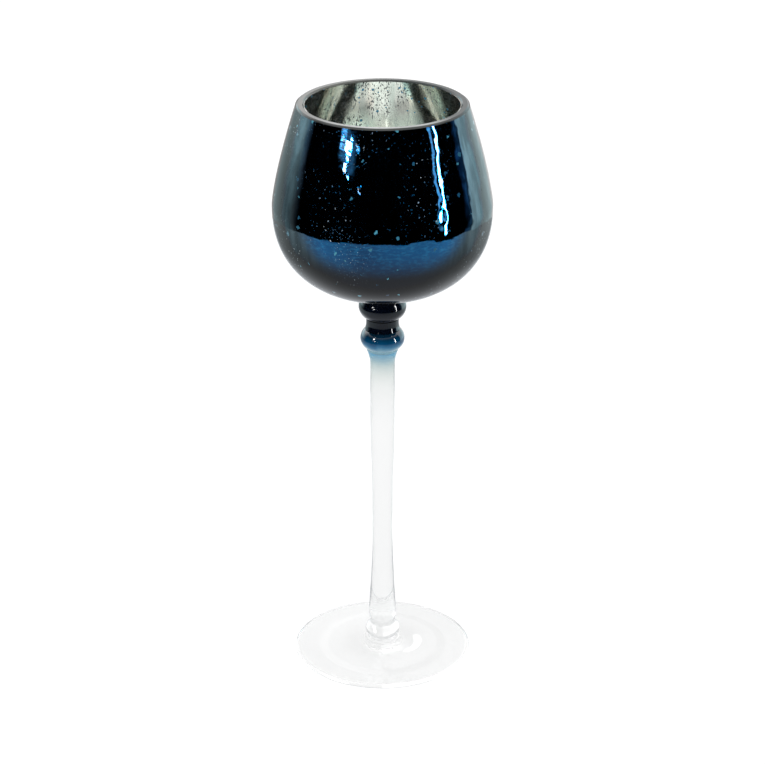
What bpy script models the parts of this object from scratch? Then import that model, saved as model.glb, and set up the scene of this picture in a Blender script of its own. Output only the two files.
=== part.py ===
"""A long-stemmed glass goblet with a mirrored, blue lacquered bowl, made to hold a candle.

Every piece is turned about the Z axis. The origin is the middle of the face that the foot stands on.
The glass pieces are made one by one and fused hot, end to end, so each is its own solid here.
Two thin coats dress the bowl: a mirror lining on its inside and a blue lacquer on its outside.
All sizes are in metres.
"""

import math

import bmesh
import bpy

# The bowl. Its outline is a superellipse below the belly and a power curve that draws in above it.
HEIGHT = 0.3000
RIM_RADIUS = 0.04205
BELLY_RADIUS = 0.0545
BELLY_HEIGHT = 0.2486
BOWL_BOTTOM = 0.2018
LOWER_POWER = 2.37
UPPER_POWER = 1.32
WALL = 0.0042
CANDLE_SEAT_RADIUS = 0.0200
CANDLE_SEAT_HEIGHT = 0.2078
SEAT_CORNER = 0.0020
RIM_BEVEL = 0.0007

# The two coats on the bowl
COAT = 0.0002
COAT_GAP = 0.0001
COAT_BELOW_RIM = 0.0011
LACQUER_OPENING_RADIUS = 0.0095

# The fused seams. Each is the height of its lower face, and its upper face is one gap higher.
SEAM_GAP = 0.0003
SEAM_MERESE_NECK = 0.1880
SEAM_NECK_KNOP = 0.1821
SEAM_KNOP_STEM = 0.1709
SEAM_STEM_BUTTON = 0.0168
SEAM_BUTTON_FOOT = 0.0067

# The collar: two round beads with a short neck between them
MERESE_RADIUS = 0.0120
MERESE_HEIGHT = 0.1945
MERESE_ROUND = 0.0070
NECK_RADIUS = 0.0083
NECK_FOOT_RADIUS = 0.0088
KNOP_RADIUS = 0.01115
KNOP_HEIGHT = 0.1773
KNOP_ROUND = 0.0060
KNOP_SEAM_RADIUS = 0.0080

# The stem, as radius and height from its flared top to its round lower end
STEM_LINE = (
    (0.00790, SEAM_KNOP_STEM),
    (0.00680, 0.1674),
    (0.00620, 0.1625),
    (0.00620, 0.1430),
    (0.00595, 0.1180),
    (0.00525, 0.0940),
    (0.00510, 0.0680),
    (0.00575, 0.0450),
    (0.00705, 0.0240),
    (0.00690, 0.0192),
    (0.00610, SEAM_STEM_BUTTON + SEAM_GAP),
)

# The button that the stem stands on, pinched in under the stem
BUTTON_RADIUS = 0.0088
BUTTON_HEIGHT = 0.0112
BUTTON_ROUND = 0.0040
BUTTON_FOOT_RADIUS = 0.0071
PINCH_RADIUS = 0.0063

# The foot, as radius and height from its middle to its edge
FOOT_RADIUS = 0.0459
FOOT_TOP_LINE = (
    (0.0092, SEAM_BUTTON_FOOT - SEAM_GAP),
    (0.0130, 0.0052),
    (0.0180, 0.0042),
    (0.0260, 0.0034),
    (0.0445, 0.0022),
)
FOOT_EDGE_ROUND = 0.0010
STANDING_RING_INNER = 0.0330
UNDERSIDE_SLOPE = 0.0040
UNDERSIDE_DEPTH = 0.0006

# Fineness
SEGMENTS = 48
BOWL_LOWER_STEPS = 10
BOWL_UPPER_STEPS = 5
BEAD_STEPS = 6
CURVE_STEPS = 2
SHARP_ANGLE = math.radians(40.0)


def clear_scene():
    for thing in list(bpy.data.objects):
        bpy.data.objects.remove(thing)


def material(name, colour, roughness, metallic=0.0, transmission=0.0):
    made = bpy.data.materials.new(name)
    made.use_nodes = True
    shader = made.node_tree.nodes["Principled BSDF"]
    shader.inputs["Base Color"].default_value = (*colour, 1.0)
    shader.inputs["Roughness"].default_value = roughness
    shader.inputs["Metallic"].default_value = metallic
    shader.inputs["Transmission Weight"].default_value = transmission
    return made


def turned(name, outline, finish):
    """One closed solid: the outline, as (radius, height) points, turned once about Z.

    An outline that starts and ends on the axis is open there, and any other is closed into a ring."""
    shape = bmesh.new()
    points = [shape.verts.new((radius, 0.0, height)) for radius, height in outline]
    lines = [shape.edges.new(pair) for pair in zip(points, points[1:])]
    meets_axis = outline[0][0] == 0.0 and outline[-1][0] == 0.0
    if not meets_axis:
        lines.append(shape.edges.new((points[-1], points[0])))
    bmesh.ops.spin(
        shape,
        geom=points + lines,
        cent=(0.0, 0.0, 0.0),
        axis=(0.0, 0.0, 1.0),
        angle=math.tau,
        steps=SEGMENTS,
        use_merge=True,
    )
    bmesh.ops.remove_doubles(shape, verts=shape.verts, dist=1e-6)
    bmesh.ops.recalc_face_normals(shape, faces=shape.faces)
    mesh = bpy.data.meshes.new(name)
    shape.to_mesh(mesh)
    shape.free()
    mesh.materials.append(finish)
    mesh.shade_smooth()
    mesh.set_sharp_from_angle(angle=SHARP_ANGLE)
    made = bpy.data.objects.new(name, mesh)
    bpy.context.scene.collection.objects.link(made)
    return made


def smooth_line(points):
    """A Catmull-Rom curve through the points."""
    ends = [points[0], *points, points[-1]]
    found = []
    for before, start, end, after in zip(ends, ends[1:], ends[2:], ends[3:]):
        for step in range(CURVE_STEPS):
            share = step / CURVE_STEPS
            found.append(
                tuple(
                    start[k]
                    + 0.5 * share * (end[k] - before[k])
                    + share**2 * (before[k] - 2.5 * start[k] + 2.0 * end[k] - 0.5 * after[k])
                    + share**3 * (1.5 * (start[k] - end[k]) + 0.5 * (after[k] - before[k]))
                    for k in (0, 1)
                )
            )
    return [*found, points[-1]]


def bead(radius, height, round_radius, low_radius, high_radius):
    """The side of a round bead, from where it has low_radius below to high_radius above."""
    middle = radius - round_radius
    start = -math.acos((low_radius - middle) / round_radius)
    end = math.acos((high_radius - middle) / round_radius)
    angles = [start + (end - start) * step / BEAD_STEPS for step in range(BEAD_STEPS + 1)]
    return [(middle + round_radius * math.cos(a), height + round_radius * math.sin(a)) for a in angles]


def bowl_line(inset):
    """The bowl's outline from the rim down to the axis, moved inwards along its normal by inset."""
    line = []
    for step in range(BOWL_UPPER_STEPS):
        share = 1.0 - step / BOWL_UPPER_STEPS
        radius = BELLY_RADIUS - (BELLY_RADIUS - RIM_RADIUS) * share**UPPER_POWER
        line.append((radius, BELLY_HEIGHT + share * (HEIGHT - BELLY_HEIGHT)))
    for step in range(BOWL_LOWER_STEPS):
        angle = math.radians(90.0) * step / BOWL_LOWER_STEPS
        across = math.cos(angle) ** (2.0 / LOWER_POWER)
        down = math.sin(angle) ** (2.0 / LOWER_POWER)
        line.append((BELLY_RADIUS * across, BELLY_HEIGHT - (BELLY_HEIGHT - BOWL_BOTTOM) * down))
    moved = []
    for before, point, after in zip([line[0], *line], line, [*line[1:], (0.0, BOWL_BOTTOM)]):
        run, drop = after[0] - before[0], after[1] - before[1]
        length = math.hypot(run, drop)
        moved.append((point[0] + inset * drop / length, point[1] - inset * run / length))
    return [*moved, (0.0, BOWL_BOTTOM + inset)]


def cut_at_height(line, top):
    """The line's part below this height, starting with a point at it."""
    for (upper_r, upper_z), (lower_r, lower_z) in zip(line, line[1:]):
        if lower_z <= top:
            share = (top - lower_z) / (upper_z - lower_z)
            return [(lower_r + share * (upper_r - lower_r), top), *[p for p in line if p[1] < top]]


def cut_at_radius(line, radius):
    """The line's part outside this radius, ending with a point at it."""
    for (outer_r, outer_z), (inner_r, inner_z) in zip(line, line[1:]):
        if inner_r <= radius < outer_r:
            share = (radius - inner_r) / (outer_r - inner_r)
            end = (radius, inner_z + share * (outer_z - inner_z))
            return [*line[: line.index((outer_r, outer_z)) + 1], end]


def cup_line(inset, top, seat_height):
    """The bowl's inside at this inset from its outline, from top down to the flat candle seat."""
    wall = cut_at_height(bowl_line(inset), top)
    side = [point for point in wall if point[0] > CANDLE_SEAT_RADIUS + SEAT_CORNER]
    return [*side, (CANDLE_SEAT_RADIUS, seat_height), (0.0, seat_height)]


def make_bowl(glass):
    coats = COAT + COAT_GAP
    top = HEIGHT - RIM_BEVEL
    outside = cut_at_height(bowl_line(coats), top)
    inside = cup_line(WALL - coats, top, CANDLE_SEAT_HEIGHT - coats)
    rim_outer = (outside[0][0] - RIM_BEVEL, HEIGHT)
    rim_inner = (inside[0][0] + RIM_BEVEL, HEIGHT)
    turned("bowl", [*outside[::-1], rim_outer, rim_inner, *inside], glass)


def make_mirror_lining(mirror):
    top = HEIGHT - COAT_BELOW_RIM
    face = cup_line(WALL, top, CANDLE_SEAT_HEIGHT)
    back = cup_line(WALL - COAT, top, CANDLE_SEAT_HEIGHT - COAT)
    turned("mirror_lining", [*face[::-1], *back], mirror)


def make_blue_lacquer(lacquer):
    top = HEIGHT - COAT_BELOW_RIM
    face, back = [
        cut_at_radius(cut_at_height(bowl_line(inset), top), LACQUER_OPENING_RADIUS) for inset in (0.0, COAT)
    ]
    turned("blue_lacquer", [*face, *back[::-1]], lacquer)


def make_merese(glass):
    """The bead that the bowl is fused to."""
    bottom, top = SEAM_MERESE_NECK + SEAM_GAP, BOWL_BOTTOM
    side = bead(MERESE_RADIUS, MERESE_HEIGHT, MERESE_ROUND, NECK_RADIUS, NECK_RADIUS)
    turned("merese", [(0.0, bottom), *side, (NECK_RADIUS, top), (0.0, top)], glass)


def make_neck(glass):
    """The short spool between the two beads, a little wider at its lower end."""
    bottom, top = SEAM_NECK_KNOP + SEAM_GAP, SEAM_MERESE_NECK
    waist = (NECK_RADIUS, bottom + 0.4 * (top - bottom))
    side = smooth_line(((NECK_FOOT_RADIUS, bottom), waist, (NECK_RADIUS, top)))
    turned("neck", [(0.0, bottom), *side, (0.0, top)], glass)


def make_knop(glass):
    bottom, top = SEAM_KNOP_STEM + SEAM_GAP, SEAM_NECK_KNOP
    side = bead(KNOP_RADIUS, KNOP_HEIGHT, KNOP_ROUND, KNOP_SEAM_RADIUS, NECK_FOOT_RADIUS)
    outline = [(0.0, bottom), (KNOP_SEAM_RADIUS, bottom), *side, (NECK_FOOT_RADIUS, top), (0.0, top)]
    turned("knop", outline, glass)


def make_stem(glass):
    side = smooth_line(STEM_LINE)
    turned("stem", [(0.0, STEM_LINE[0][1]), *side, (0.0, STEM_LINE[-1][1])], glass)


def make_foot_button(glass):
    bottom, top = SEAM_BUTTON_FOOT, SEAM_STEM_BUTTON
    side = bead(BUTTON_RADIUS, BUTTON_HEIGHT, BUTTON_ROUND, BUTTON_FOOT_RADIUS, PINCH_RADIUS)
    outline = [(0.0, bottom), (BUTTON_FOOT_RADIUS, bottom), *side, (PINCH_RADIUS, top), (0.0, top)]
    turned("foot_button", outline, glass)


def make_foot(glass):
    """A low cone with a rounded edge, standing on a flat ring around a shallow hollow."""
    top = smooth_line(FOOT_TOP_LINE)
    edge_top = FOOT_TOP_LINE[-1][1]
    edge = [
        (FOOT_RADIUS - 0.4 * FOOT_EDGE_ROUND, edge_top - 0.4 * FOOT_EDGE_ROUND),
        (FOOT_RADIUS, FOOT_EDGE_ROUND),
        (FOOT_RADIUS - 0.3 * FOOT_EDGE_ROUND, 0.4 * FOOT_EDGE_ROUND),
        (FOOT_RADIUS - FOOT_EDGE_ROUND, 0.0),
    ]
    underside = [
        (STANDING_RING_INNER, 0.0),
        (STANDING_RING_INNER - UNDERSIDE_SLOPE, UNDERSIDE_DEPTH),
        (0.0, UNDERSIDE_DEPTH),
    ]
    turned("foot", [(0.0, FOOT_TOP_LINE[0][1]), *top, *edge, *underside], glass)


def main():
    clear_scene()
    clear_glass = material("clear_glass", (0.95, 0.97, 0.97), 0.03, transmission=0.95)
    bowl_glass = material("bowl_glass", (0.60, 0.66, 0.64), 0.10, transmission=0.6)
    dark_blue_glass = material("dark_blue_glass", (0.006, 0.020, 0.060), 0.05)
    silver_mirror = material("silver_mirror", (0.72, 0.75, 0.72), 0.15, metallic=1.0)
    lacquer = material("lacquer", (0.010, 0.045, 0.160), 0.12, metallic=0.9)
    make_bowl(bowl_glass)
    make_mirror_lining(silver_mirror)
    make_blue_lacquer(lacquer)
    make_merese(dark_blue_glass)
    make_neck(dark_blue_glass)
    make_knop(dark_blue_glass)
    make_stem(clear_glass)
    make_foot_button(clear_glass)
    make_foot(clear_glass)


main()
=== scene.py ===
"""The looks of a long-stemmed goblet: a mirrored, blue lacquered bowl on a clear stem and foot.

Every piece is turned again at a fine pitch in the place of its CAD node, with the slight waves of hand-worked
glass, and gets a procedural material. All sizes are in metres.
"""

import math

import bpy
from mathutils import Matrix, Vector, noise


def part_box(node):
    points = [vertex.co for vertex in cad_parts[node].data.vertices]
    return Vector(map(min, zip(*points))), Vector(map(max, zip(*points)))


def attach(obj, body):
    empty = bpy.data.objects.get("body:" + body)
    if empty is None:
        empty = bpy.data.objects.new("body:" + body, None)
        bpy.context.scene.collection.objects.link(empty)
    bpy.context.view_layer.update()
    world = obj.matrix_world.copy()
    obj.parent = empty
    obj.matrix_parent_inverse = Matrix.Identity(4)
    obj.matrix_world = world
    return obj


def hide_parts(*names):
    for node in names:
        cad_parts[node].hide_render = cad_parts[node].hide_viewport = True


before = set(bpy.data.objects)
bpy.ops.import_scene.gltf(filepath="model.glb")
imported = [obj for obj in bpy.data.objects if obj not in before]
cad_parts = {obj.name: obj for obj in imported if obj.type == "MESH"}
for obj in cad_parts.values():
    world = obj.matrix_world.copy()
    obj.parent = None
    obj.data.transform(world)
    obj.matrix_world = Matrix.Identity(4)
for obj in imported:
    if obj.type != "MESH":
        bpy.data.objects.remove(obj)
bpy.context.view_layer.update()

# ---------------------------------------------------------------------------------------------------- camera

CAMERA_PLACE = (0.0, -1.1574, 0.6561)
CAMERA_PITCH = 66.48
CAMERA_LENS = 117.06
CAMERA_SENSOR = 36.0


def make_camera():
    data = bpy.data.cameras.new("camera")
    data.lens = CAMERA_LENS
    data.sensor_width = CAMERA_SENSOR
    camera = bpy.data.objects.new("camera", data)
    camera.location = CAMERA_PLACE
    camera.rotation_euler = (math.radians(CAMERA_PITCH), 0.0, 0.0)
    bpy.context.scene.collection.objects.link(camera)
    bpy.context.scene.camera = camera


make_camera()
bpy.context.scene.view_settings.view_transform = "Standard"

# ---------------------------------------------------------------------------------------------------- sizes

COAT = 0.0002
COAT_GAP = 0.0001
COAT_BELOW_RIM = 0.0008
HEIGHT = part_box("bowl")[1][2]
BELLY_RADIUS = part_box("blue_lacquer")[1][0]
BELLY_HEIGHT = 0.2486
RIM_RADIUS = 0.04205
RIM_BEVEL = 0.0007
CALM_BELOW_RIM = 0.004
LOWER_POWER = 2.37
UPPER_POWER = 1.32
WALL = 0.0042
SEAT_RADIUS = 0.0200
SEAT_ROUNDING = 0.002
SEAT_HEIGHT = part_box("mirror_lining")[0][2] + COAT
BOWL_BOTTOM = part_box("merese")[1][2]
LACQUER_OPENING_RADIUS = 0.0095
MERESE_END_RADIUS = 0.0083
KNOP_TOP_RADIUS = 0.0088
KNOP_LOW_RADIUS = 0.0080
SEAM_KNOP_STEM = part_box("stem")[1][2]
SEAM_STEM_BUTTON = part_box("stem")[0][2]
STEM_FOOT_RADIUS = 0.0061
BUTTON_LOW_RADIUS = 0.0074
FOOT_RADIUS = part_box("foot")[1][0]
FOOT_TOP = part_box("foot")[1][2]
FOOT_HOLLOW = 0.0006

STEM_LINE = (
    (0.00790, SEAM_KNOP_STEM),
    (0.00680, 0.1674),
    (0.00620, 0.1625),
    (0.00620, 0.1430),
    (0.00595, 0.1180),
    (0.00525, 0.0940),
    (0.00510, 0.0680),
    (0.00575, 0.0450),
    (0.00705, 0.0240),
    (0.00690, 0.0192),
    (STEM_FOOT_RADIUS, SEAM_STEM_BUTTON),
)
FOOT_TOP_LINE = (
    (BUTTON_LOW_RADIUS, FOOT_TOP),
    (0.0092, 0.0062),
    (0.0130, 0.0052),
    (0.0180, 0.0042),
    (0.0260, 0.0034),
    (0.0445, 0.0022),
)
FOOT_EDGE_LINE = (
    FOOT_TOP_LINE[-1],
    (FOOT_RADIUS - 0.0004, 0.0018),
    (FOOT_RADIUS, 0.0010),
    (FOOT_RADIUS - 0.0010, 0.0),
)
# The points that stand close together keep the ring and the hollow flat when the mesh is shaded smooth.
FOOT_UNDER_LINE = (
    (0.0400, 0.0),
    (0.0334, 0.0),
    (0.0330, 0.0),
    (0.0290, FOOT_HOLLOW),
    (0.0286, FOOT_HOLLOW),
    (0.0150, FOOT_HOLLOW),
    (0.0, FOOT_HOLLOW),
)

# ---------------------------------------------------------------------------------------------------- meshes

SEGMENTS = 192
CREASE_ANGLE = 35.0
EASE_ACROSS = 0.0002
EASE_DOWN = 0.0001


def waves(point, size, seed):
    """Smooth noise from -1 to 1 with waves of about this size."""
    return noise.noise(Vector(point) / size + Vector((seed, 2.0 * seed, 3.0 * seed)))


def turned(name, outline, wave=None, loop=False):
    """The outline, as (radius, height) points, turned about Z and pushed in or out by wave(point).

    An end on the axis is closed with a cap. A loop's last point joins its first."""
    rings = [point for point in outline if point[0] > 0.0]
    points, faces = [], []
    for radius, height in rings:
        for step in range(SEGMENTS):
            angle = math.tau * step / SEGMENTS
            place = Vector((radius * math.cos(angle), radius * math.sin(angle), height))
            if wave:
                place += wave(place) * Vector((math.cos(angle), math.sin(angle), 0.0))
            points.append(place)
    pairs = list(zip(range(len(rings)), range(1, len(rings))))
    if loop:
        pairs.append((len(rings) - 1, 0))
    for upper, lower in pairs:
        for step in range(SEGMENTS):
            after = (step + 1) % SEGMENTS
            a, b = upper * SEGMENTS, lower * SEGMENTS
            faces.append((a + step, b + step, b + after, a + after))
    last = (len(rings) - 1) * SEGMENTS
    if outline[0][0] == 0.0:
        points.append(Vector((0.0, 0.0, outline[0][1])))
        for step in range(SEGMENTS):
            faces.append((len(points) - 1, step, (step + 1) % SEGMENTS))
    if outline[-1][0] == 0.0:
        points.append(Vector((0.0, 0.0, outline[-1][1])))
        for step in range(SEGMENTS):
            faces.append((len(points) - 1, last + (step + 1) % SEGMENTS, last + step))
    mesh = bpy.data.meshes.new(name)
    mesh.from_pydata(points, [], faces)
    mesh.shade_smooth()
    mesh.set_sharp_from_angle(angle=math.radians(CREASE_ANGLE))
    made = bpy.data.objects.new(name, mesh)
    bpy.context.scene.collection.objects.link(made)
    return made


def smooth_line(points, steps):
    """A Catmull-Rom curve through the points, with this many steps between each two."""
    ends = [points[0], *points, points[-1]]
    found = []
    for before, start, end, after in zip(ends, ends[1:], ends[2:], ends[3:]):
        for step in range(steps):
            share = step / steps
            found.append(
                tuple(
                    start[k]
                    + 0.5 * share * (end[k] - before[k])
                    + share**2 * (before[k] - 2.5 * start[k] + 2.0 * end[k] - 0.5 * after[k])
                    + share**3 * (1.5 * (start[k] - end[k]) + 0.5 * (after[k] - before[k]))
                    for k in (0, 1)
                )
            )
    return [*found, points[-1]]


def bead(radius, height, round_radius, low_radius, high_radius, steps=40):
    """The side of a round bead, from where it has high_radius above to low_radius below."""
    middle = radius - round_radius
    start = math.acos((high_radius - middle) / round_radius)
    end = -math.acos((low_radius - middle) / round_radius)
    angles = [start + (end - start) * step / steps for step in range(steps + 1)]
    return [(middle + round_radius * math.cos(a), height + round_radius * math.sin(a)) for a in angles]


def closed_top(radius, height):
    """A flat end face with a slightly eased edge."""
    return [(0.0, height), (radius - EASE_ACROSS, height), (radius, height - EASE_DOWN)]


def bowl_line(inset, upper_steps=48, lower_steps=80):
    """The bowl's outline from the rim down to the axis, moved inwards along its normal by inset."""
    line = []
    for step in range(upper_steps):
        share = 1.0 - step / upper_steps
        radius = BELLY_RADIUS - (BELLY_RADIUS - RIM_RADIUS) * share**UPPER_POWER
        line.append((radius, BELLY_HEIGHT + share * (HEIGHT - BELLY_HEIGHT)))
    for step in range(lower_steps):
        angle = math.radians(90.0) * step / lower_steps
        across = math.cos(angle) ** (2.0 / LOWER_POWER)
        down = math.sin(angle) ** (2.0 / LOWER_POWER)
        line.append((BELLY_RADIUS * across, BELLY_HEIGHT - (BELLY_HEIGHT - BOWL_BOTTOM) * down))
    moved = []
    for before, point, after in zip([line[0], *line], line, [*line[1:], (0.0, BOWL_BOTTOM)]):
        run, drop = after[0] - before[0], after[1] - before[1]
        length = math.hypot(run, drop)
        moved.append((point[0] + inset * drop / length, point[1] - inset * run / length))
    return [*moved, (0.0, BOWL_BOTTOM + inset)]


def cut_at_height(line, top):
    """The line's part below this height, starting with a point at it."""
    for (upper_r, upper_z), (lower_r, lower_z) in zip(line, line[1:]):
        if lower_z <= top:
            share = (top - lower_z) / (upper_z - lower_z)
            return [(lower_r + share * (upper_r - lower_r), top), *[p for p in line if p[1] < top]]


def cut_at_radius(line, radius):
    """The line's part outside this radius, ending with a point at it."""
    for (outer_r, outer_z), (inner_r, inner_z) in zip(line, line[1:]):
        if inner_r <= radius < outer_r:
            share = (radius - inner_r) / (outer_r - inner_r)
            end = (radius, inner_z + share * (outer_z - inner_z))
            return [*line[: line.index((outer_r, outer_z)) + 1], end]


def cup_line(inset, top, seat_height):
    """The bowl's inside at this inset from its outline, from top down to the flat candle seat."""
    wall = cut_at_height(bowl_line(inset), top)
    side = [point for point in wall if point[0] > SEAT_RADIUS + SEAT_ROUNDING]
    return [*side, (SEAT_RADIUS, seat_height), (0.5 * SEAT_RADIUS, seat_height), (0.0, seat_height)]


# (depth, size, seed) of the broad waves and the little ripple in the bowl's wall
BLOWN_WAVES = ((0.00004, 0.022, 1.0), (0.00001, 0.008, 5.0))


def blown(place):
    """How far the blown bowl's wall stands out or in at this place. The rim is ground true."""
    calm = min(max((HEIGHT - place.z) / CALM_BELOW_RIM, 0.0), 1.0)
    around = Vector((place.x, place.y)).normalized() * BELLY_RADIUS
    spot = (around.x, around.y, place.z)
    return calm * sum(depth * waves(spot, size, seed) for depth, size, seed in BLOWN_WAVES)


def worked(size, depth, seed):
    """A wave for pieces worked by hand on the pipe."""
    return lambda place: depth * waves(place, size, seed)


def make_bowl():
    coats = COAT + COAT_GAP
    top = HEIGHT - RIM_BEVEL
    outside = cut_at_height(bowl_line(coats), top)
    inside = cup_line(WALL - coats, top, SEAT_HEIGHT - coats)
    # Each bevel rises at 45 degrees. A point just past its end keeps the rim's flat face flat.
    outer, inner = outside[0][0], inside[0][0]
    half = 0.5 * RIM_BEVEL
    rim_outer = [(outer - 2.5 * half, HEIGHT), (outer - 2.0 * half, HEIGHT), (outer - half, HEIGHT - half)]
    rim_inner = [(inner + half, HEIGHT - half), (inner + 2.0 * half, HEIGHT), (inner + 2.5 * half, HEIGHT)]
    return turned("bowl_glass", [*inside[::-1], *rim_inner, *rim_outer, *outside], blown)


def make_mirror_coat():
    top = HEIGHT - COAT_BELOW_RIM
    face = cup_line(WALL, top, SEAT_HEIGHT)
    back = cup_line(WALL - COAT, top, SEAT_HEIGHT - COAT)
    return turned("mirror_coat", [*face[::-1], *back], blown)


def make_lacquer_coat():
    top = HEIGHT - COAT_BELOW_RIM
    face, back = [
        cut_at_radius(cut_at_height(bowl_line(inset), top), LACQUER_OPENING_RADIUS) for inset in (0.0, COAT)
    ]
    return turned("lacquer_coat", [*back[::-1], *face], blown, loop=True)


def make_merese():
    low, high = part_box("merese")[0][2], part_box("merese")[1][2]
    side = bead(
        radius=0.0120,
        height=0.1945,
        round_radius=0.0070,
        low_radius=MERESE_END_RADIUS,
        high_radius=MERESE_END_RADIUS,
    )
    line = [*closed_top(MERESE_END_RADIUS, high), *side, (0.0, low)]
    return turned("merese_bead", line, worked(size=0.006, depth=0.00008, seed=2.0))


def make_neck():
    low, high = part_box("neck")[0][2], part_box("neck")[1][2]
    waist = (MERESE_END_RADIUS, low + 0.4 * (high - low))
    side = smooth_line(((MERESE_END_RADIUS, high), waist, (KNOP_TOP_RADIUS, low)), 12)
    return turned("neck_spool", [(0.0, high), *side, (0.0, low)], worked(size=0.006, depth=0.00004, seed=3.0))


def make_knop():
    low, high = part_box("knop")[0][2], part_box("knop")[1][2]
    side = bead(
        radius=0.01115,
        height=0.1773,
        round_radius=0.0060,
        low_radius=KNOP_LOW_RADIUS,
        high_radius=KNOP_TOP_RADIUS,
    )
    line = [*closed_top(KNOP_TOP_RADIUS, high), *side, (KNOP_LOW_RADIUS, low), (0.0, low)]
    return turned("knop_bead", line, worked(size=0.006, depth=0.00010, seed=4.0))


def make_stem():
    """The rod is open where it is fused to the button."""
    line = [(0.0, SEAM_KNOP_STEM), *smooth_line(STEM_LINE, 10)]
    return turned("stem_rod", line, worked(size=0.012, depth=0.00012, seed=6.0))


def make_foot_button():
    """The ring is open where it is fused to the stem and to the foot."""
    side = bead(radius=0.0088, height=0.0112, round_radius=0.0040, low_radius=0.0071, high_radius=0.0063)
    line = [(STEM_FOOT_RADIUS, SEAM_STEM_BUTTON), *side, (BUTTON_LOW_RADIUS, FOOT_TOP)]
    return turned("foot_button_ring", line, worked(size=0.005, depth=0.00010, seed=7.0))


def make_foot():
    """The disc is open where it is fused to the button."""
    top = smooth_line(FOOT_TOP_LINE, 14)
    edge = smooth_line(FOOT_EDGE_LINE, 6)
    return turned("foot_disc", [*top, *edge[1:], *FOOT_UNDER_LINE])


# ---------------------------------------------------------------------------------------------- shader nodes

SMALLEST_SPECK = 0.35
SPECK_SOFTNESS = 0.25


def connect(tree, node, values):
    """Gives each of these inputs a number, a colour or another node's socket."""
    for name, value in values.items():
        if isinstance(value, bpy.types.NodeSocket):
            tree.links.new(value, node.inputs[name])
        else:
            node.inputs[name].default_value = value


def put(tree, kind, inputs=None, **settings):
    """A new node with these settings and inputs."""
    made = tree.nodes.new(kind)
    for name, value in settings.items():
        setattr(made, name, value)
    connect(tree, made, inputs or {})
    return made


def feed(tree, shader, **sockets):
    connect(tree, shader, {name.replace("_", " "): value for name, value in sockets.items()})


def new_material(name):
    made = bpy.data.materials.new(name)
    made.use_nodes = True
    return made, made.node_tree, made.node_tree.nodes["Principled BSDF"]


def maths(tree, operation, *values):
    return put(tree, "ShaderNodeMath", dict(enumerate(values)), operation=operation).outputs[0]


def vector_maths(tree, operation, *values):
    return put(tree, "ShaderNodeVectorMath", dict(enumerate(values)), operation=operation).outputs


def ranged(tree, value, low, high, start=0.0, end=1.0, smooth=True):
    """start up to low, end from high on, and a smooth or straight way between."""
    return put(
        tree,
        "ShaderNodeMapRange",
        {"Value": value, "From Min": low, "From Max": high, "To Min": start, "To Max": end},
        interpolation_type="SMOOTHSTEP" if smooth else "LINEAR",
    ).outputs["Result"]


def over_angle(tree, angle, low, high, start=0.0, end=1.0):
    """The same over an angle, with low and high in degrees."""
    return ranged(tree, angle, math.radians(low), math.radians(high), start, end)


def mixed(tree, share, first, second):
    """A colour between two colours."""
    first, second = [c if isinstance(c, bpy.types.NodeSocket) else (*c, 1.0) for c in (first, second)]
    return put(tree, "ShaderNodeMix", {0: share, 6: first, 7: second}, data_type="RGBA").outputs[2]


def chosen(tree, share, otherwise, value):
    """The value where share is 1, and otherwise where it is 0."""
    return put(tree, "ShaderNodeMix", {0: share, 2: otherwise, 3: value}, data_type="FLOAT").outputs[0]


def place_of(tree, stretch=(1.0, 1.0, 1.0)):
    """Object coordinates, stretched."""
    coordinates = put(tree, "ShaderNodeTexCoord").outputs["Object"]
    return put(tree, "ShaderNodeMapping", {"Vector": coordinates, "Scale": stretch}).outputs[0]


def parts_of(tree, vector):
    """The vector's X, Y and Z."""
    return put(tree, "ShaderNodeSeparateXYZ", {"Vector": vector}).outputs


def radius_at(tree, place):
    """How far the place is from the goblet's axis."""
    x, y, _ = parts_of(tree, place)
    level = put(tree, "ShaderNodeCombineXYZ", {"X": x, "Y": y}).outputs[0]
    return vector_maths(tree, "LENGTH", level)["Value"]


def noisy(tree, vector, scale, detail=2.0):
    settings = {"Vector": vector, "Scale": scale, "Detail": detail, "Roughness": 0.5}
    return put(tree, "ShaderNodeTexNoise", settings).outputs["Fac"]


def ragged(tree, place, scale, reach):
    """The place, shaken by up to about this reach, so that round specks get uneven outlines."""
    noise_colour = put(tree, "ShaderNodeTexNoise", {"Vector": place, "Scale": scale}).outputs["Color"]
    shake = vector_maths(tree, "SUBTRACT", noise_colour, (0.5, 0.5, 0.5))[0]
    settings = {0: shake, "Scale": 4.0 * reach}
    shake = put(tree, "ShaderNodeVectorMath", settings, operation="SCALE").outputs[0]
    return vector_maths(tree, "ADD", place, shake)[0]


def specks(tree, place, ripples, reach, cells, largest, share):
    """A mask of uneven round specks, and each speck's random tone.

    This share of the cells has a speck, there are this many cells to the metre, and the largest radius is in
    cells. The outlines are shaken by up to about reach, with this many ripples to the metre."""
    grid = put(tree, "ShaderNodeTexVoronoi", {"Vector": ragged(tree, place, ripples, reach), "Scale": cells})
    chance = put(tree, "ShaderNodeSeparateColor", {"Color": grid.outputs["Color"]})
    picked = maths(tree, "LESS_THAN", chance.outputs[0], share)
    size = ranged(tree, chance.outputs[1], 0.0, 1.0, SMALLEST_SPECK * largest, largest, smooth=False)
    inner = maths(tree, "MULTIPLY", size, 1.0 - SPECK_SOFTNESS)
    dots = ranged(tree, grid.outputs["Distance"], inner, size, 1.0, 0.0, smooth=False)
    return maths(tree, "MULTIPLY", dots, picked), chance.outputs[2]


def bumped(tree, height, distance):
    settings = {"Height": height, "Distance": distance, "Strength": 1.0}
    return put(tree, "ShaderNodeBump", settings).outputs["Normal"]


# ------------------------------------------------------------------------------------------------- materials

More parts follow.
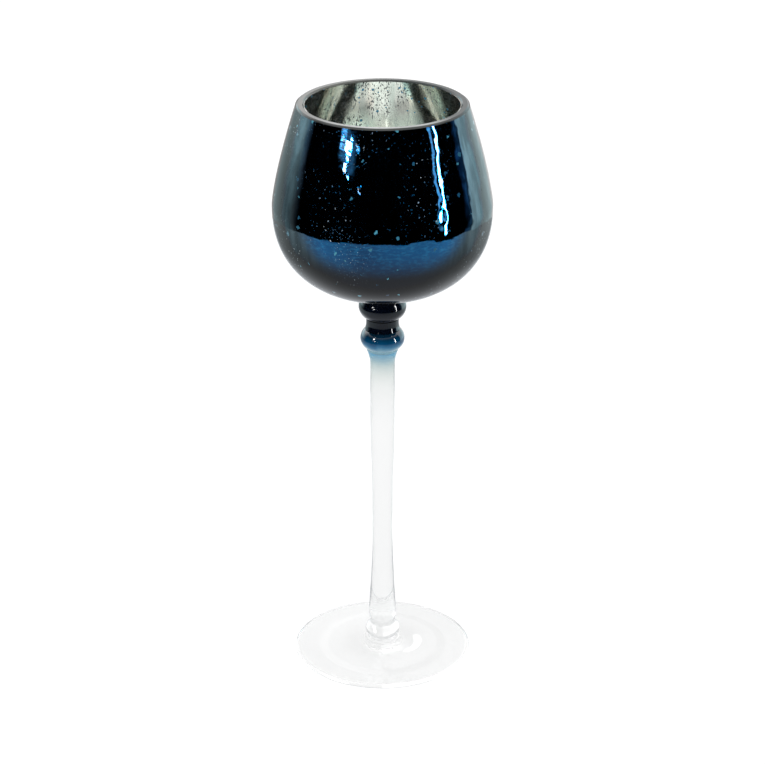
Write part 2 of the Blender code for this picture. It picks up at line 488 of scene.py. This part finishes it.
# The lacquer is blue face on, greyer at a slant, and plain and dark low on the bowl.
BLUE_DEEP = (0.003, 0.11, 0.32)
BLUE_BRIGHT = (0.003, 0.22, 0.60)
BLUE_GRAIN = (0.03, 0.40, 0.85)
SIDE_DARK = (0.045, 0.078, 0.098)
SIDE_PALE = (0.112, 0.168, 0.200)
SIDE_GRAZING = (0.014, 0.065, 0.080)
LOW_COAT = (0.008, 0.011, 0.017)
# Each kind of pinhole has a darkest and a palest colour. The paler tones are painted light that shines
# through the holes from inside the bowl.
LARGE_SPECKS = {"ripples": 800.0, "reach": 0.0006, "cells": 170.0, "largest": 0.21, "share": 0.55}
LARGE_LIT_HOLES = ((0.002, 0.025, 0.07), (0.07, 0.27, 0.34))
SMALL_SPECKS = {"ripples": 1500.0, "reach": 0.0003, "cells": 620.0, "largest": 0.25, "share": 0.9}
SMALL_LIT_HOLES = ((0.01, 0.035, 0.06), (0.60, 0.66, 0.66))
# The third kind, gathered low on the left, is pinholes and painted sparkle.
SPARKLE_SPECKS = {"ripples": 1500.0, "reach": 0.0002, "cells": 1250.0, "largest": 0.30, "share": 0.5}
SPARKLE_LIT_HOLES = ((0.05, 0.16, 0.24), (0.42, 0.52, 0.56))
# Small pinholes gather at the upper left as painted glints beside the lamp's highlight, and more gather low
# on the left as painted sparkle.
GLINT_CLUSTER = (-0.0110, -0.0430, 0.2890)
SPARKLE_SPOT = (-0.0170, -0.0500, 0.2410)

# The lacquer's skin has one dimple, taller than it is wide, and sways up and down the bowl's right side. They
# draw the ring and the kinks in the bright line that the bowl mirrors there.
DIMPLE = (0.0287, -0.0452, 0.2577)
DIMPLE_SQUASH = 0.68
DIMPLE_REACH = 0.0034
DIMPLE_DEPTH = 0.9
SWAY_HEIGHT = 0.2600
SWAY_LENGTH = 0.0042
SWAY_FROM = 0.016
SWAY_TO = 0.036
SWAY_DEPTH = 1.2
SKIN_RELIEF = 0.00018


def metal_colour(tree, place, height, streaks):
    """The lacquer's own colour, without its pinholes."""
    cloud = noisy(tree, place, 28.0, 3.0)
    grain = noisy(tree, place_of(tree, (0.45, 0.45, 1.0)), 900.0, 3.0)
    blue = mixed(tree, ranged(tree, cloud, 0.35, 0.65), BLUE_DEEP, BLUE_BRIGHT)
    blue = mixed(tree, ranged(tree, grain, 0.42, 0.75, 0.0, 0.8), blue, BLUE_GRAIN)
    slant = put(tree, "ShaderNodeLayerWeight", {"Blend": 0.5}).outputs["Facing"]
    side = mixed(tree, ranged(tree, streaks, 0.36, 0.66), SIDE_DARK, SIDE_PALE)
    side = mixed(tree, ranged(tree, slant, 0.46, 0.70), side, SIDE_GRAZING)
    colour = mixed(tree, ranged(tree, slant, 0.23, 0.44), blue, side)
    return mixed(tree, ranged(tree, height, 0.246, 0.226), colour, LOW_COAT)


def pinholes(tree, place, colour):
    """The colour with pinholes in it, painted pale with the light that shines through them, and a mask of the
    pinholes.
    """
    from_glint_cluster = vector_maths(tree, "DISTANCE", place, GLINT_CLUSTER)["Value"]
    patches = ranged(tree, noisy(tree, place, 26.0, 1.0), 0.47, 0.62)
    # Small pinholes also gather at the upper left as painted glints beside the lamp's highlight.
    patches = maths(tree, "MAXIMUM", patches, ranged(tree, from_glint_cluster, 0.004, 0.011, 1.0, 0.0))
    large, large_tone = specks(tree, place, **LARGE_SPECKS)
    small, small_tone = specks(tree, place, **SMALL_SPECKS)
    small = maths(tree, "MULTIPLY", small, patches)
    small_tone = maths(tree, "POWER", small_tone, 4.0)
    # More pinholes gather low on the left as painted sparkle.
    from_sparkle_spot = vector_maths(tree, "DISTANCE", place, SPARKLE_SPOT)["Value"]
    sparkle_holes, sparkle_tone = specks(tree, place, **SPARKLE_SPECKS)
    sparkle_holes = maths(tree, "MULTIPLY", sparkle_holes, ranged(tree, from_sparkle_spot, 0.005, 0.017, 0.9, 0.0))
    mask = 0.0
    for holes, tone, (darkest, palest) in (
        (large, large_tone, LARGE_LIT_HOLES),
        (small, small_tone, SMALL_LIT_HOLES),
        (sparkle_holes, sparkle_tone, SPARKLE_LIT_HOLES),
    ):
        colour = mixed(tree, holes, colour, mixed(tree, tone, darkest, palest))
        mask = maths(tree, "MAXIMUM", mask, holes)
    return colour, mask


def lacquer_skin(tree, place, across, height):
    """The height of the lacquer's swells, calmer on the left and low on the bowl."""
    squat = vector_maths(tree, "MULTIPLY", place, (1.0, 1.0, DIMPLE_SQUASH))[0]
    middle = (DIMPLE[0], DIMPLE[1], DIMPLE[2] * DIMPLE_SQUASH)
    away = vector_maths(tree, "DISTANCE", squat, middle)["Value"]
    skin = noisy(tree, place, 130.0, 1.0)
    skin = maths(tree, "MULTIPLY", skin, ranged(tree, across, -0.002, 0.020, 0.4, 1.2))
    skin = maths(tree, "SUBTRACT", skin, ranged(tree, away, 0.0, DIMPLE_REACH, DIMPLE_DEPTH, 0.0))
    turns = maths(tree, "DIVIDE", maths(tree, "SUBTRACT", height, SWAY_HEIGHT), SWAY_LENGTH)
    sway = maths(tree, "MULTIPLY", maths(tree, "SINE", turns), ranged(tree, height, 0.2475, 0.2535))
    sway = maths(tree, "MULTIPLY", ranged(tree, across, SWAY_FROM, SWAY_TO, smooth=False), sway)
    skin = maths(tree, "ADD", skin, maths(tree, "MULTIPLY", sway, SWAY_DEPTH))
    return maths(tree, "MULTIPLY", skin, ranged(tree, height, 0.218, 0.236, 0.2, 1.0))


def lacquer_material():
    """A clear coat over metallic blue, with pinholes painted pale blue and teal with the light that shines
    through them.
    """
    made, tree, shader = new_material("blue_lacquer")
    place = place_of(tree)
    across, _, height = parts_of(tree, place)
    streaks = noisy(tree, place_of(tree, (1.0, 1.0, 0.10)), 260.0, 3.0)
    colour, holes = pinholes(tree, place, metal_colour(tree, place, height, streaks))
    skin = lacquer_skin(tree, place, across, height)
    ripple = maths(tree, "MULTIPLY", noisy(tree, place, 420.0, 1.0), 0.10)
    feed(
        tree,
        shader,
        Base_Color=colour,
        Metallic=maths(tree, "SUBTRACT", 1.0, holes),
        Roughness=ranged(tree, streaks, 0.35, 0.75, 0.025, 0.05),
        Specular_Tint=(0.0, 0.0, 0.0, 1.0),
        Coat_Weight=1.0,
        Coat_Roughness=0.015,
        Coat_IOR=1.5,
        Normal=bumped(tree, maths(tree, "ADD", skin, ripple), SKIN_RELIEF),
        Coat_Normal=bumped(tree, skin, SKIN_RELIEF),
    )
    return made


SILVER_DULL = (0.63, 0.69, 0.655)
SILVER_COOL = (0.92, 0.915, 0.875)
SILVER_WARM = (0.96, 0.885, 0.80)
LINING_DASHES = (0.08, 0.10, 0.10)
LINING_DOTS = (0.05, 0.26, 0.42)
LINING_SPECKS = {"ripples": 1200.0, "reach": 0.0001, "cells": 230.0, "largest": 0.21, "share": 1.0}


def mirror_material():
    """A silver mirror, warmer towards +X, with short dark dashes in upright rows and blue pinholes."""
    made, tree, shader = new_material("silver_mirror")
    place = place_of(tree)
    across = parts_of(tree, place)["X"]
    dashes = ranged(tree, noisy(tree, place_of(tree, (1.0, 1.0, 0.40)), 1500.0, 1.0), 0.56, 0.63)
    columns = ranged(tree, noisy(tree, place_of(tree, (1.0, 1.0, 0.05)), 260.0, 1.0), 0.40, 0.52)
    areas = ranged(tree, noisy(tree, place, 38.0, 1.0), 0.28, 0.46)
    dashes = maths(tree, "MULTIPLY", maths(tree, "MULTIPLY", dashes, columns), areas)
    dots, _ = specks(tree, place, **LINING_SPECKS)
    shade = noisy(tree, place_of(tree, (1.0, 1.0, 0.3)), 60.0, 3.0)
    bright = mixed(tree, ranged(tree, across, 0.0, 0.022), SILVER_COOL, SILVER_WARM)
    tone = mixed(tree, ranged(tree, shade, 0.3, 0.7), SILVER_DULL, bright)
    colour = mixed(tree, dots, mixed(tree, dashes, tone, LINING_DASHES), LINING_DOTS)
    ripple = noisy(tree, place_of(tree, (1.0, 1.0, 0.35)), 90.0, 2.0)
    holes = maths(tree, "MAXIMUM", dots, maths(tree, "MULTIPLY", dashes, 0.7))
    feed(
        tree,
        shader,
        Base_Color=colour,
        Metallic=maths(tree, "SUBTRACT", 1.0, holes),
        Roughness=ranged(tree, noisy(tree, place, 120.0, 3.0), 0.35, 0.7, 0.05, 0.16),
        Normal=bumped(tree, ripple, 0.00018),
    )
    return made


# RIM_LEFT, RIM_RIGHT and RIM_FRONT are the rim's glass with a painted reflection of the lining in it.
RIM_LEFT = (0.105, 0.11, 0.10)
RIM_RIGHT = (0.006, 0.016, 0.017)
RIM_FRONT = (0.40, 0.42, 0.41)
RIM_CLOUD = (0.02, 0.025, 0.025)
RIM_EDGE = (0.004, 0.006, 0.006)


def rim_material():
    """Glass between two coats, ground and polished at the rim.

    It is palest in front and darkest at +X, a painted reflection of the lining seen through the glass, and it
    is also darkest along its outer edge."""
    made, tree, shader = new_material("bowl_glass")
    place = place_of(tree)
    x, y, _ = parts_of(tree, place)
    cloud = noisy(tree, place, 45.0, 3.0)
    colour = mixed(tree, ranged(tree, x, -0.030, 0.036), RIM_LEFT, RIM_RIGHT)
    colour = mixed(tree, ranged(tree, y, -0.020, -0.040), colour, RIM_FRONT)
    colour = mixed(tree, ranged(tree, cloud, 0.40, 0.70, 0.0, 0.30), colour, RIM_CLOUD)
    radius = radius_at(tree, place)
    edge = ranged(tree, radius, RIM_RADIUS - 0.0012, RIM_RADIUS - 0.0008, 0.0, 0.85)
    feed(
        tree,
        shader,
        Base_Color=mixed(tree, edge, colour, RIM_EDGE),
        Roughness=ranged(tree, noisy(tree, place, 500.0, 3.0), 0.3, 0.7, 0.05, 0.20),
        Normal=bumped(tree, noisy(tree, place, 900.0, 2.0), 0.00002),
    )
    return made


BEAD_DEEP = (0.0006, 0.0012, 0.003)
BEAD_PALE = (0.002, 0.004, 0.010)


def bead_material():
    """Glass under so much blue lacquer that it is nearly black."""
    made, tree, shader = new_material("dark_blue_glass")
    place = place_of(tree)
    cloud = noisy(tree, place, 120.0, 3.0)
    feed(
        tree,
        shader,
        Base_Color=mixed(tree, cloud, BEAD_DEEP, BEAD_PALE),
        Roughness=ranged(tree, cloud, 0.3, 0.7, 0.02, 0.07),
        Coat_Weight=0.5,
        Coat_Roughness=0.02,
        Normal=bumped(tree, noisy(tree, place, 220.0, 2.0), 0.00012),
    )
    return made


# The colour on the knop and the stem at these heights: the blue lacquer thinning downwards, and on the knop's
# lower part also painted light that shines through the glass.
KNOP_FADE_AND_LIGHT = (
    (0.1715, (0.20, 0.36, 0.43)),
    (0.1738, (0.12, 0.26, 0.36)),
    (0.1758, (0.022, 0.13, 0.25)),
    (0.1775, (0.002, 0.052, 0.13)),
    (0.1805, (0.0003, 0.022, 0.052)),
    (0.1835, (0.0003, 0.004, 0.009)),
)
STEM_FADE = (
    (0.1300, (0.915, 0.920, 0.920)),
    (0.1420, (0.88, 0.89, 0.89)),
    (0.1520, (0.83, 0.85, 0.84)),
    (0.1585, (0.68, 0.73, 0.715)),
    (0.1630, (0.48, 0.58, 0.59)),
    (0.1650, (0.34, 0.48, 0.53)),
    (0.1690, (0.17, 0.35, 0.48)),
    (0.1715, (0.10, 0.28, 0.42)),
)
FADE_UNEVENNESS = 0.0012


def fading(tree, stops):
    """A colour that changes with the height, through stops of (height, colour), a little unevenly."""
    coordinates = put(tree, "ShaderNodeTexCoord").outputs["Object"]
    height = parts_of(tree, coordinates)["Z"]
    runs = noisy(tree, place_of(tree, (1.0, 1.0, 0.3)), 250.0, 2.0)
    shift = ranged(tree, runs, 0.0, 1.0, -FADE_UNEVENNESS, FADE_UNEVENNESS, smooth=False)
    low, high = stops[0][0], stops[-1][0]
    share = ranged(tree, maths(tree, "ADD", height, shift), low, high, smooth=False)
    ramp = put(tree, "ShaderNodeValToRGB", {"Fac": share})
    elements = ramp.color_ramp.elements
    for level, colour in stops:
        at = (level - low) / (high - low)
        stop = elements[0] if level == low else elements[-1] if level == high else elements.new(at)
        stop.position = at
        stop.color = (*colour, 1.0)
    return ramp.outputs["Color"]


def knop_material():
    """Blue lacquer that thins downwards over a glossy glass bead, painted paler low down with the light that
    shines through the glass.
    """
    made, tree, shader = new_material("knop_lacquer")
    place = place_of(tree)
    feed(
        tree,
        shader,
        Base_Color=fading(tree, KNOP_FADE_AND_LIGHT),
        Roughness=ranged(tree, noisy(tree, place, 140.0, 3.0), 0.35, 0.75, 0.02, 0.06),
        Coat_Weight=0.6,
        Coat_Roughness=0.02,
        Normal=bumped(tree, noisy(tree, place, 220.0, 2.0), 0.00010),
    )
    return made


def stem_material():
    """Clear glass with the last of the blue lacquer at its top, and milkier at its foot."""
    made, tree, shader = new_material("fading_glass")
    place = place_of(tree)
    height = parts_of(tree, place)["Z"]
    feed(
        tree,
        shader,
        Base_Color=fading(tree, STEM_FADE),
        Roughness=ranged(tree, noisy(tree, place, 140.0, 3.0), 0.35, 0.75, 0.0, 0.03),
        IOR=1.5,
        Transmission_Weight=ranged(tree, height, 0.014, 0.036, 0.50, 1.0),
        Normal=bumped(tree, noisy(tree, place_of(tree, (1.0, 1.0, 0.3)), 150.0, 2.0), 0.00008),
    )
    return made


# The foot is clear between these radii, and milky in the button and along the edge.
CLEAR_FROM = 0.0105
CLEAR_TO = 0.0438
# Round the hub the glass is painted darker, as shade.
FOOT_HUB_SHADE = (0.77, 0.775, 0.775)
FOOT_DULL = (0.81, 0.815, 0.815)
FOOT_BRIGHT = (0.85, 0.855, 0.855)


def clear_material():
    """Clear pressed glass, faintly smeared and painted darker round the hub as shade, that catches a milky
    light in its button and along its edge.
    """
    made, tree, shader = new_material("clear_pressed_glass")
    place = place_of(tree)
    radius = radius_at(tree, place)
    inner = ranged(tree, radius, CLEAR_FROM - 0.0025, CLEAR_FROM, 0.3, 1.0)
    outer = ranged(tree, radius, CLEAR_TO, CLEAR_TO + 0.0012, 1.0, 0.65)
    smeared = mixed(tree, noisy(tree, place, 40.0, 2.0), FOOT_DULL, FOOT_BRIGHT)
    feed(
        tree,
        shader,
        Base_Color=mixed(tree, ranged(tree, radius, 0.012, 0.026), FOOT_HUB_SHADE, smeared),
        Roughness=ranged(tree, noisy(tree, place, 90.0, 4.0), 0.4, 0.75, 0.0, 0.04),
        IOR=1.5,
        Transmission_Weight=maths(tree, "MULTIPLY", inner, outer),
        Normal=bumped(tree, noisy(tree, place, 120.0, 2.0), 0.00006),
    )
    return made


# ----------------------------------------------------------------------------------------------------- stage

FLOOR_DROP = 0.0002
FLOOR_SIZE = 12.0
FLOOR_WHITE = (0.92, 0.92, 0.92, 1.0)
TABLE_RADIUS = 0.67
TABLE_STEPS = 96
TABLE_MIDDLE = (0.96, 1.0, 1.05)
TABLE_SIDES = (0.86, 1.0, 1.03)


def flat(name, corners, z):
    mesh = bpy.data.meshes.new(name)
    mesh.from_pydata([(x, y, z) for x, y in corners], [], [tuple(range(len(corners)))])
    made = bpy.data.objects.new(name, mesh)
    bpy.context.scene.collection.objects.link(made)
    return made


def make_floor():
    """A plain white floor. It isn't mirrored in the goblet: the table card below is."""
    half = FLOOR_SIZE / 2.0
    floor = flat("floor", [(-half, -half), (half, -half), (half, half), (-half, half)], -FLOOR_DROP)
    made, tree, shader = new_material("floor_white")
    feed(tree, shader, Base_Color=FLOOR_WHITE, Roughness=1.0, Specular_IOR_Level=0.0)
    floor.data.materials.append(made)
    floor.visible_glossy = False


def table_light(tree, x, y):
    """How bright the table is: dim in front, brighter behind in its middle and far out at both sides."""
    front = ranged(tree, y, -0.50, -0.10, 0.30, 0.44)
    near = ranged(tree, maths(tree, "ABSOLUTE", x), 0.12, 0.30, 1.0, 0.0)
    back = maths(tree, "MULTIPLY", ranged(tree, y, -0.05, 0.20, 0.0, 0.4), near)
    far_right = ranged(tree, x, 0.20, 0.50, 0.0, 0.42)
    far_left = ranged(tree, x, -0.25, -0.50, 0.0, 0.15)
    far = maths(tree, "MAXIMUM", far_right, far_left)
    far = maths(tree, "MULTIPLY", far, ranged(tree, y, 0.0, 0.3))
    return maths(tree, "ADD", maths(tree, "ADD", front, back), far)


def make_table_card():
    """What the goblet mirrors below it: a round table top."""
    turns = [math.tau * step / TABLE_STEPS for step in range(TABLE_STEPS)]
    corners = [(TABLE_RADIUS * math.cos(a), TABLE_RADIUS * math.sin(a)) for a in turns]
    card = flat("table_card", corners, -2.0 * FLOOR_DROP)
    made = bpy.data.materials.new("table_card")
    made.use_nodes = True
    tree = made.node_tree
    tree.nodes.clear()
    x, y, _ = parts_of(tree, put(tree, "ShaderNodeTexCoord").outputs["Object"])
    outward = ranged(tree, maths(tree, "ABSOLUTE", x), 0.05, 0.45)
    colour = mixed(tree, outward, TABLE_MIDDLE, TABLE_SIDES)
    glow = put(tree, "ShaderNodeEmission", {"Color": colour, "Strength": table_light(tree, x, y)})
    put(tree, "ShaderNodeOutputMaterial", {"Surface": glow.outputs[0]})
    card.data.materials.append(made)
    card.visible_camera = False
    card.visible_diffuse = False
    card.visible_transmission = False
    card.visible_shadow = False


# ------------------------------------------------------------------------------------------------------ room

# The patches of light that the goblet mirrors, as (middle, half size, strength). Middles and half sizes are
# (azimuth, elevation) in degrees.
LAMPS = (
    # the lamp at the upper left: a bright bar, a faint haze and smaller streaks around it
    ((-42.0, 12.9), (4.4, 0.48), 45.0),
    ((-43.0, 12.9), (12.0, 3.0), 0.25),
    ((-49.5, 14.3), (5.0, 0.55), 1.7),
    ((-49.5, 12.2), (4.0, 0.38), 2.2),
    ((-49.5, 13.2), (4.0, 0.25), 6.0),
    ((-38.7, 14.3), (2.0, 0.32), 30.0),
    ((-42.0, 11.7), (2.3, 0.28), 30.0),
    ((-44.0, 10.4), (2.0, 0.26), 26.0),
    ((-39.0, 9.6), (2.2, 0.24), 16.0),
    ((-31.0, 14.0), (3.0, 0.12), 8.0),
    ((-25.0, 8.3), (1.6, 0.35), 8.0),
    # the window above the lamp
    ((-50.0, 28.0), (5.0, 7.0), 24.0),
    # the bright line down the bowl's right side and the dim one beside it
    ((68.0, 6.0), (1.4, 24.0), 34.0),
    ((62.0, 10.0), (2.0, 17.0), 1.2),
    # the highlights on the foot
    ((170.0, 33.0), (2.4, 11.0), 2.4),
    ((170.0, 70.0), (3.0, 8.0), 4.0),
)
SPOT_CORE = 0.6
WHITE = (1.0, 1.0, 1.0)
WALL_TINT = (0.76, 1.0, 1.05)
FRINGE_TINT = (0.26, 0.74, 1.3)
LEFT_WALL_LIGHT = 1.6
RIGHT_WALL_LIGHT = 1.5
FRINGE_LIGHT = 0.30
CEILING_LIGHT = 1.5
MATT_LIGHT = 1.2
CAMERA_LIGHT = 1.1


def spot(tree, azimuth, elevation, at, size, strength):
    """A soft-edged patch of light."""
    shares = []
    for value, middle, half in ((azimuth, at[0], size[0]), (elevation, at[1], size[1])):
        away = maths(tree, "ABSOLUTE", maths(tree, "SUBTRACT", value, math.radians(middle)))
        shares.append(over_angle(tree, away, SPOT_CORE * half, half, 1.0, 0.0))
    return maths(tree, "MULTIPLY", maths(tree, "MULTIPLY", *shares), strength)


def blue_fringe(tree, azimuth, direction):
    """The uneven, dim strip where the right wall begins."""
    patchy = ranged(tree, noisy(tree, direction, 7.0, 1.0), 0.40, 0.60, 0.30, 1.0)
    return maths(tree, "MULTIPLY", over_angle(tree, azimuth, 94.0, 101.0, end=FRINGE_LIGHT), patchy)


def room_walls(tree, azimuth, aside, elevation, fringe):
    """Pale walls from both sides round to the back, darker low down and behind."""
    left = over_angle(tree, azimuth, -95.0, -131.0, end=LEFT_WALL_LIGHT)
    left = maths(tree, "MULTIPLY", left, over_angle(tree, elevation, -9.0, 4.0, 0.40, 1.30))
    right = over_angle(tree, azimuth, 103.0, 107.0, end=RIGHT_WALL_LIGHT)
    right = maths(tree, "MAXIMUM", fringe, right)
    right = maths(tree, "MULTIPLY", right, over_angle(tree, elevation, -22.0, -6.0, 0.75, 1.0))
    behind = over_angle(tree, aside, 150.0, 168.0, 1.0, 0.70)
    return maths(tree, "MULTIPLY", maths(tree, "MAXIMUM", left, right), behind)


def room_ceiling(tree, aside, elevation):
    """A ceiling, dimmer behind and in front, except right overhead."""
    low = over_angle(tree, elevation, 24.0, 50.0, end=CEILING_LIGHT)
    low = maths(tree, "MULTIPLY", low, over_angle(tree, aside, 148.0, 166.0, 1.0, 0.35))
    high = over_angle(tree, elevation, 62.0, 78.0, end=CEILING_LIGHT)
    ahead = over_angle(tree, aside, 60.0, 105.0, 0.40, 1.0)
    ahead = maths(tree, "MAXIMUM", ahead, over_angle(tree, elevation, 68.0, 84.0))
    return maths(tree, "MULTIPLY", maths(tree, "MAXIMUM", low, high), ahead)


def room_tint(tree, azimuth, aside, elevation, wall, fringe, glossy):
    """Cool walls and the blue of the fringe, for mirror rays only."""
    cool = maths(tree, "MULTIPLY", glossy, ranged(tree, wall, 0.0, 0.3))
    cool = maths(tree, "MULTIPLY", cool, over_angle(tree, aside, 148.0, 166.0, 1.0, 0.0))
    cool = maths(tree, "MULTIPLY", cool, over_angle(tree, elevation, 14.0, 24.0, 1.0, 0.0))
    blue = maths(tree, "MULTIPLY", glossy, ranged(tree, fringe, 0.0, 0.02))
    blue = maths(tree, "MULTIPLY", blue, over_angle(tree, azimuth, 103.0, 105.0, 1.0, 0.0))
    blue = maths(tree, "MULTIPLY", blue, over_angle(tree, elevation, 24.0, 34.0, 1.0, 0.0))
    return mixed(tree, blue, mixed(tree, cool, WHITE, WALL_TINT), FRINGE_TINT)


def make_world():
    """White all round for the eye, an even light for matt things, and a room for the shiny ones.

    Azimuth 0 is where the camera stands at rest, and grows towards +X."""
    world = bpy.data.worlds.new("room")
    world.use_nodes = True
    bpy.context.scene.world = world
    tree = world.node_tree
    tree.nodes.clear()
    direction = put(tree, "ShaderNodeTexCoord").outputs["Generated"]
    x, y, z = parts_of(tree, direction)
    azimuth = maths(tree, "ARCTAN2", x, maths(tree, "MULTIPLY", y, -1.0))
    aside = maths(tree, "ABSOLUTE", azimuth)
    elevation = maths(tree, "ARCSINE", z)
    fringe = blue_fringe(tree, azimuth, direction)
    wall = room_walls(tree, azimuth, aside, elevation, fringe)
    room = maths(tree, "MAXIMUM", wall, room_ceiling(tree, aside, elevation))
    for at, size, strength in LAMPS:
        room = maths(tree, "ADD", room, spot(tree, azimuth, elevation, at, size, strength))
    paths = put(tree, "ShaderNodeLightPath").outputs
    glossy = paths["Is Glossy Ray"]
    through = ranged(tree, y, -0.9, 0.2, 0.90, 1.08)
    level = chosen(tree, glossy, MATT_LIGHT, room)
    level = chosen(tree, paths["Is Transmission Ray"], level, through)
    level = chosen(tree, paths["Is Camera Ray"], level, CAMERA_LIGHT)
    tint = room_tint(tree, azimuth, aside, elevation, wall, fringe, glossy)
    background = put(tree, "ShaderNodeBackground", {"Color": tint, "Strength": level})
    put(tree, "ShaderNodeOutputWorld", {"Surface": background.outputs[0]})


# ------------------------------------------------------------------------------------------------ the goblet


def dress(piece, node, finish, see_through=False):
    """Puts the piece in its node's place. A see-through piece casts no shadow and isn't mirrored."""
    piece.data.materials.append(finish)
    piece.visible_shadow = not see_through
    piece.visible_diffuse = not see_through
    piece.visible_glossy = not see_through
    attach(piece, "root")
    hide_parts(node)


def main():
    make_floor()
    make_table_card()
    make_world()
    beads = bead_material()
    knop = knop_material()
    stem = stem_material()
    clear = clear_material()
    dress(make_bowl(), "bowl", rim_material())
    dress(make_mirror_coat(), "mirror_lining", mirror_material())
    dress(make_lacquer_coat(), "blue_lacquer", lacquer_material())
    dress(make_merese(), "merese", beads)
    dress(make_neck(), "neck", beads)
    dress(make_knop(), "knop", knop)
    dress(make_stem(), "stem", stem, see_through=True)
    dress(make_foot_button(), "foot_button", clear, see_through=True)
    dress(make_foot(), "foot", clear, see_through=True)


main()
